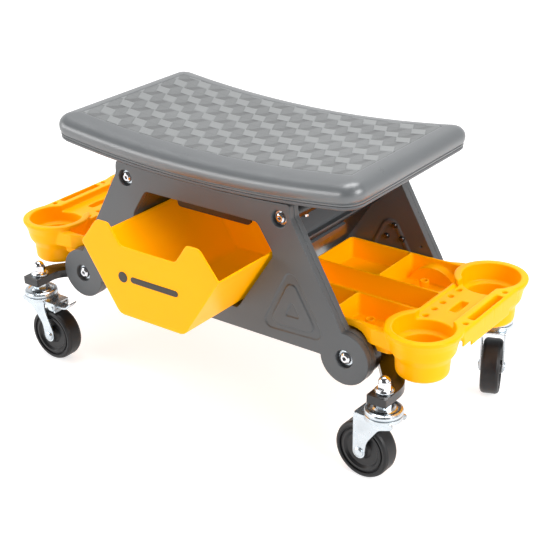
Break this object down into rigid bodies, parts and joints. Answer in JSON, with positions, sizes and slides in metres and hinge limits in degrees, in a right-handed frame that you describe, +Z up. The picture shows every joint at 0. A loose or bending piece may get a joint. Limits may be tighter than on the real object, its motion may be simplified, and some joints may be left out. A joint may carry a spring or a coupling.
{
  "type": "rolling mechanics work seat",
  "caption": "Low rolling work seat: saddle seat on two side panels, a through drawer under it, a tool tray with cups at each end, swivel casters.",
  "frame": {"origin": "on the floor, midway between the four caster stems", "axes": "+X from the left tray to the right tray, -Y towards the drawer front, +Z up"},
  "size_m": [0.696, 0.3982, 0.3621],
  "materials": {
    "seat_plastic": "satin grey, moulded pattern",
    "seat_base_plastic": "satin grey",
    "panel_plastic": "fine satin grain",
    "black_plastic": "satin black",
    "yellow_plastic": "satin gloss, translucent at thin walls",
    "badge": "printed",
    "nylon": "natural",
    "black_steel": "black powder coat",
    "bright_steel": "bright plated",
    "zinc_steel": "bright zinc plate",
    "tyre": "matt black",
    "hub_plastic": "moulded black"
  },
  "bodies": {
    "frame": {"seat_top": "seat_plastic", "seat_base": "seat_base_plastic", "front_panel_outer": "panel_plastic", "front_panel_inner": "panel_plastic", "back_panel_outer": "panel_plastic", "back_panel_inner": "panel_plastic", "housing_upper": "panel_plastic", "housing_rails": "panel_plastic", "housing_lower": "black_plastic", "drawer_stop": "black_plastic", "lobe_spacers": "black_plastic", "bar_end_caps": "black_plastic", "tray_left": "yellow_plastic", "tray_right": "yellow_plastic", "drawer_glides": "nylon", "tie_tube_left": "black_steel", "tie_tube_right": "black_steel", "cross_tube_left": "black_steel", "cross_tube_right": "black_steel", "bow_bar_left": "black_steel", "bow_bar_right": "black_steel", "seat_screws": "bright_steel", "top_bolts": "bright_steel", "lobe_bolts": "bright_steel", "tray_screws": "bright_steel", "caster_nuts": "bright_steel", "threaded_plugs": "zinc_steel", "top_washers": "zinc_steel", "lobe_washers": "zinc_steel", "caster_washers": "zinc_steel", "swivel_balls": "zinc_steel", "stem_fl": "zinc_steel", "stem_fr": "zinc_steel", "stem_bl": "zinc_steel", "stem_br": "zinc_steel", "front_panel_screws": "black_steel", "back_panel_screws": "black_steel"},
    "drawer": {"drawer": "yellow_plastic", "drawer_badge": "badge"},
    "caster_fl": {"fork_fl": "zinc_steel", "axle_fl": "zinc_steel"},
    "wheel_fl": {"tyre_fl": "tyre", "hub_fl": "hub_plastic"},
    "brake_lever_fl": {"brake_fl": "zinc_steel"},
    "caster_fr": {"fork_fr": "zinc_steel", "axle_fr": "zinc_steel"},
    "wheel_fr": {"tyre_fr": "tyre", "hub_fr": "hub_plastic"},
    "caster_bl": {"fork_bl": "zinc_steel", "axle_bl": "zinc_steel"},
    "wheel_bl": {"tyre_bl": "tyre", "hub_bl": "hub_plastic"},
    "brake_lever_bl": {"brake_bl": "zinc_steel"},
    "caster_br": {"fork_br": "zinc_steel", "axle_br": "zinc_steel"},
    "wheel_br": {"tyre_br": "tyre", "hub_br": "hub_plastic"}
  },
  "joints": [
    {"name": "drawer_slide", "type": "slide", "parent": "frame", "child": "drawer", "axis": [0, -1, 0], "range_m": [-0.1, 0.104]},
    {"name": "swivel_fl", "type": "hinge", "parent": "frame", "child": "caster_fl", "pos_m": [-0.284, -0.142, 0.0956], "axis": [0, 0, 1], "continuous": true},
    {"name": "spin_fl", "type": "hinge", "parent": "caster_fl", "child": "wheel_fl", "pos_m": [-0.26, -0.142, 0.0375], "axis": [0, 1, 0], "continuous": true},
    {"name": "brake_press_fl", "type": "hinge", "parent": "caster_fl", "child": "brake_lever_fl", "pos_m": [-0.251, -0.142, 0.083], "axis": [0, 1, 0], "range_deg": [0, 20]},
    {"name": "swivel_fr", "type": "hinge", "parent": "frame", "child": "caster_fr", "pos_m": [0.284, -0.142, 0.0956], "axis": [0, 0, 1], "continuous": true},
    {"name": "spin_fr", "type": "hinge", "parent": "caster_fr", "child": "wheel_fr", "pos_m": [0.26001, -0.14116, 0.0375], "axis": [-0.0349, -0.9994, 0], "continuous": true},
    {"name": "swivel_bl", "type": "hinge", "parent": "frame", "child": "caster_bl", "pos_m": [-0.284, 0.142, 0.0956], "axis": [0, 0, 1], "continuous": true},
    {"name": "spin_bl", "type": "hinge", "parent": "caster_bl", "child": "wheel_bl", "pos_m": [-0.26145, 0.15021, 0.0375], "axis": [-0.342, 0.9397, 0], "continuous": true},
    {"name": "brake_press_bl", "type": "hinge", "parent": "caster_bl", "child": "brake_lever_bl", "pos_m": [-0.25299, 0.15329, 0.083], "axis": [-0.342, 0.9397, 0], "range_deg": [0, 20]},
    {"name": "swivel_br", "type": "hinge", "parent": "frame", "child": "caster_br", "pos_m": [0.284, 0.142, 0.0956], "axis": [0, 0, 1], "continuous": true},
    {"name": "spin_br", "type": "hinge", "parent": "caster_br", "child": "wheel_br", "pos_m": [0.29299, 0.11975, 0.0375], "axis": [0.9272, 0.3746, 0], "continuous": true}
  ]
}
